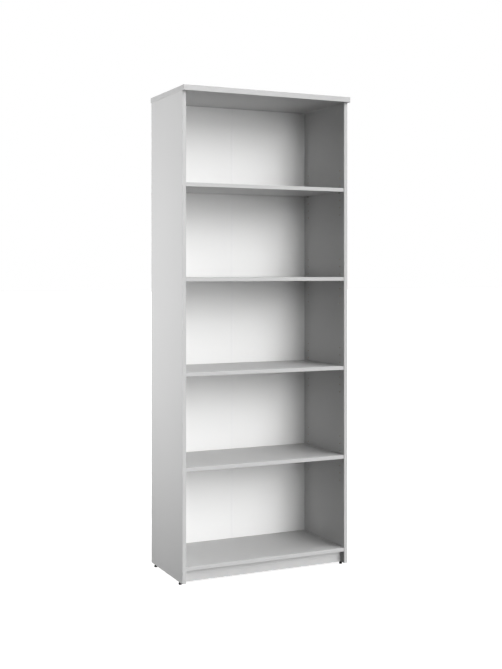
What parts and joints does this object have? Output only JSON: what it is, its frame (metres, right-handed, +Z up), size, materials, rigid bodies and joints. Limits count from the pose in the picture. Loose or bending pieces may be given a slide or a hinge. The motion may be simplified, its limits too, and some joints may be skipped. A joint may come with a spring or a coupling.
{
  "type": "bookcase with adjustable shelves",
  "caption": "Tall open bookcase with adjustable shelves on pins, overhanging top, recessed plinth, two-piece back with joint strip and levelling feet.",
  "frame": {"origin": "on the floor, under the middle of the outer box", "axes": "+Z up, +X to the right as seen from the front, +Y to the back; the open front faces -Y"},
  "size_m": [0.768, 0.39, 2.021],
  "materials": {
    "melamine_board": "satin light grey melamine on chipboard",
    "abs_edge_band": "satin light grey",
    "white_hardboard": "white lacquered front, raw brown rear",
    "white_plastic_strip": "satin white",
    "steel_fasteners": "zinc plated",
    "steel_shelf_pins": "nickel plated",
    "zinc_cam_locks": "raw zinc die casting",
    "grey_plastic_caps": "satin light grey",
    "beech_dowels": "raw fluted beech",
    "white_plastic_blocks": "satin white",
    "black_plastic_feet": "fine textured black",
    "steel_foot_stems": "black zinc plated"
  },
  "bodies": {
    "carcass": {"back_joint_strip": "white_plastic_strip", "back_nails": "steel_fasteners", "back_sheet_left": "white_hardboard", "back_sheet_right": "white_hardboard", "bottom_cam_bolts": "steel_fasteners", "bottom_cam_locks": "zinc_cam_locks", "bottom_dowels": "beech_dowels", "bottom_panel": "melamine_board", "bottom_panel_edge_band": "abs_edge_band", "corner_block_screws": "steel_fasteners", "foot_sleeves": "black_plastic_feet", "left_side": "melamine_board", "left_side_edge_band": "abs_edge_band", "plinth": "melamine_board", "plinth_corner_blocks": "white_plastic_blocks", "plinth_dowels": "beech_dowels", "right_side": "melamine_board", "right_side_edge_band": "abs_edge_band", "top_cam_bolts": "steel_fasteners", "top_cam_caps": "grey_plastic_caps", "top_cam_locks": "zinc_cam_locks", "top_dowels": "beech_dowels", "top_edge_bands": "abs_edge_band", "top_panel": "melamine_board"},
    "shelf_1_supports": {"shelf_1_pins": "steel_shelf_pins"},
    "shelf_1": {"shelf_1_board": "melamine_board", "shelf_1_edge_band": "abs_edge_band"},
    "shelf_2_supports": {"shelf_2_pins": "steel_shelf_pins"},
    "shelf_2": {"shelf_2_board": "melamine_board", "shelf_2_edge_band": "abs_edge_band"},
    "shelf_3_supports": {"shelf_3_pins": "steel_shelf_pins"},
    "shelf_3": {"shelf_3_board": "melamine_board", "shelf_3_edge_band": "abs_edge_band"},
    "shelf_4_supports": {"shelf_4_pins": "steel_shelf_pins"},
    "shelf_4": {"shelf_4_board": "melamine_board", "shelf_4_edge_band": "abs_edge_band"},
    "foot_front_left_pad": {"foot_front_left_pad": "black_plastic_feet"},
    "foot_front_left_stem": {"foot_front_left_stem": "steel_foot_stems"},
    "foot_front_right_pad": {"foot_front_right_pad": "black_plastic_feet"},
    "foot_front_right_stem": {"foot_front_right_stem": "steel_foot_stems"},
    "foot_rear_left_pad": {"foot_rear_left_pad": "black_plastic_feet"},
    "foot_rear_left_stem": {"foot_rear_left_stem": "steel_foot_stems"},
    "foot_rear_right_pad": {"foot_rear_right_pad": "black_plastic_feet"},
    "foot_rear_right_stem": {"foot_rear_right_stem": "steel_foot_stems"}
  },
  "joints": [
    {"name": "shelf_1_height", "type": "slide", "parent": "carcass", "child": "shelf_1_supports", "axis": [0, 0, 1], "range_m": [-0.096, 0.096]},
    {"name": "shelf_1_pull_out", "type": "slide", "parent": "shelf_1_supports", "child": "shelf_1", "axis": [0, -1, 0], "range_m": [0, 0.362]},
    {"name": "shelf_2_height", "type": "slide", "parent": "carcass", "child": "shelf_2_supports", "axis": [0, 0, 1], "range_m": [-0.096, 0.096]},
    {"name": "shelf_2_pull_out", "type": "slide", "parent": "shelf_2_supports", "child": "shelf_2", "axis": [0, -1, 0], "range_m": [0, 0.362]},
    {"name": "shelf_3_height", "type": "slide", "parent": "carcass", "child": "shelf_3_supports", "axis": [0, 0, 1], "range_m": [-0.096, 0.096]},
    {"name": "shelf_3_pull_out", "type": "slide", "parent": "shelf_3_supports", "child": "shelf_3", "axis": [0, -1, 0], "range_m": [0, 0.362]},
    {"name": "shelf_4_height", "type": "slide", "parent": "carcass", "child": "shelf_4_supports", "axis": [0, 0, 1], "range_m": [-0.096, 0.096]},
    {"name": "shelf_4_pull_out", "type": "slide", "parent": "shelf_4_supports", "child": "shelf_4", "axis": [0, -1, 0], "range_m": [0, 0.362]},
    {"name": "foot_front_left_lift", "type": "slide", "parent": "carcass", "child": "foot_front_left_pad", "axis": [0, 0, -1], "range_m": [-0.002, 0.01]},
    {"name": "foot_front_left_screw", "type": "hinge", "parent": "foot_front_left_pad", "child": "foot_front_left_stem", "pos_m": [-0.374, -0.129, 0.013], "axis": [0, 0, -1], "range_deg": [-720, 3600]},
    {"name": "foot_front_right_lift", "type": "slide", "parent": "carcass", "child": "foot_front_right_pad", "axis": [0, 0, -1], "range_m": [-0.002, 0.01]},
    {"name": "foot_front_right_screw", "type": "hinge", "parent": "foot_front_right_pad", "child": "foot_front_right_stem", "pos_m": [0.374, -0.129, 0.013], "axis": [0, 0, -1], "range_deg": [-720, 3600]},
    {"name": "foot_rear_left_lift", "type": "slide", "parent": "carcass", "child": "foot_rear_left_pad", "axis": [0, 0, -1], "range_m": [-0.002, 0.01]},
    {"name": "foot_rear_left_screw", "type": "hinge", "parent": "foot_rear_left_pad", "child": "foot_rear_left_stem", "pos_m": [-0.374, 0.158, 0.013], "axis": [0, 0, -1], "range_deg": [-720, 3600]},
    {"name": "foot_rear_right_lift", "type": "slide", "parent": "carcass", "child": "foot_rear_right_pad", "axis": [0, 0, -1], "range_m": [-0.002, 0.01]},
    {"name": "foot_rear_right_screw", "type": "hinge", "parent": "foot_rear_right_pad", "child": "foot_rear_right_stem", "pos_m": [0.374, 0.158, 0.013], "axis": [0, 0, -1], "range_deg": [-720, 3600]}
  ],
  "couplings": [
    {"joint": "foot_front_left_screw", "follows": "foot_front_left_lift", "rad_per_m": 6283.2},
    {"joint": "foot_front_right_screw", "follows": "foot_front_right_lift", "rad_per_m": 6283.2},
    {"joint": "foot_rear_left_screw", "follows": "foot_rear_left_lift", "rad_per_m": 6283.2},
    {"joint": "foot_rear_right_screw", "follows": "foot_rear_right_lift", "rad_per_m": 6283.2}
  ]
}
